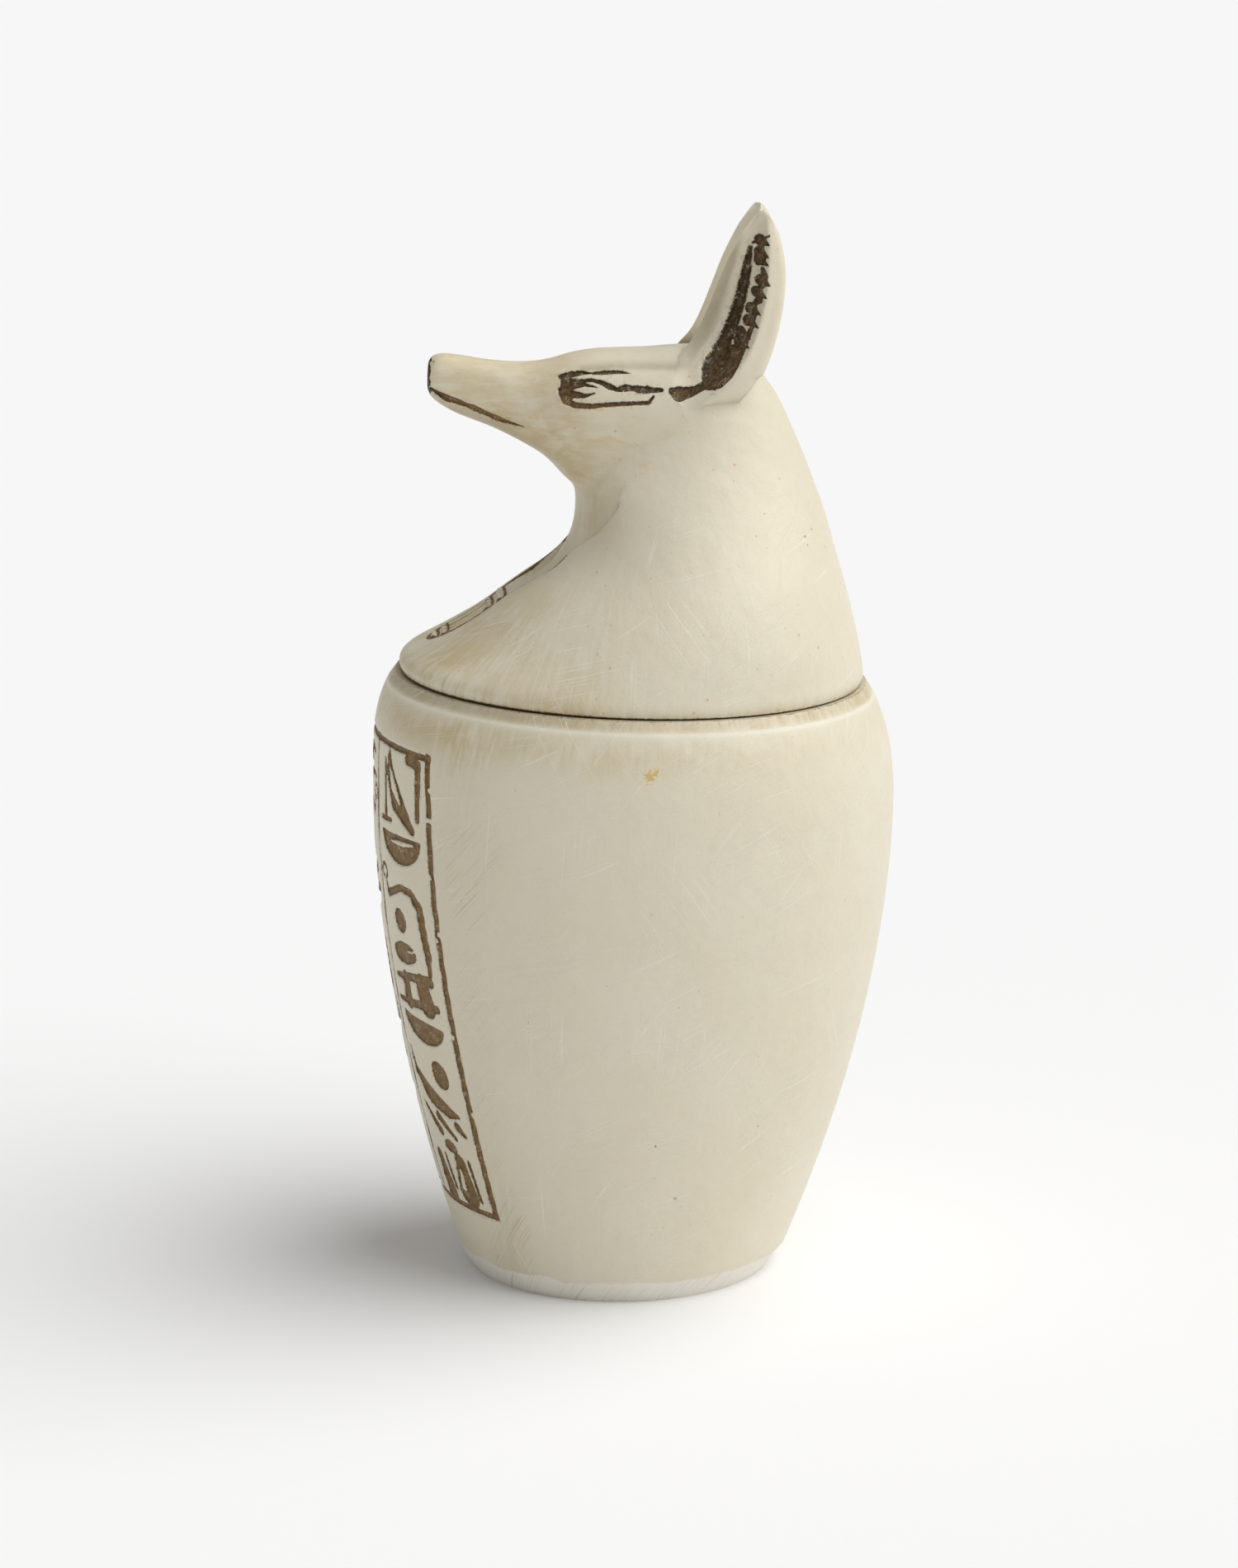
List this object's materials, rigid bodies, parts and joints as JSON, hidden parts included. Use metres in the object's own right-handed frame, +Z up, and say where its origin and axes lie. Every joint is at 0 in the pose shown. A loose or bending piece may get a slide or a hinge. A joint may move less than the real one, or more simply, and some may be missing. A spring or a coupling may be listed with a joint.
{
  "type": "canopic jar",
  "caption": "Hollow shouldered jar with a framed, incised panel and a lift-off lid shaped as a jackal's head on a cape.",
  "frame": {"origin": "middle of the foot's flat underside, on the ground", "axes": "+Z up, -Y the way the jackal faces, +X its left"},
  "size_m": [0.0974, 0.0974, 0.2],
  "materials": {
    "ivory_resin": "ivory-coloured filled casting resin, hand ground, with brown stain left in the carving"
  },
  "bodies": {
    "root": {"jar": "ivory_resin", "lid": "ivory_resin"}
  },
  "joints": []
}
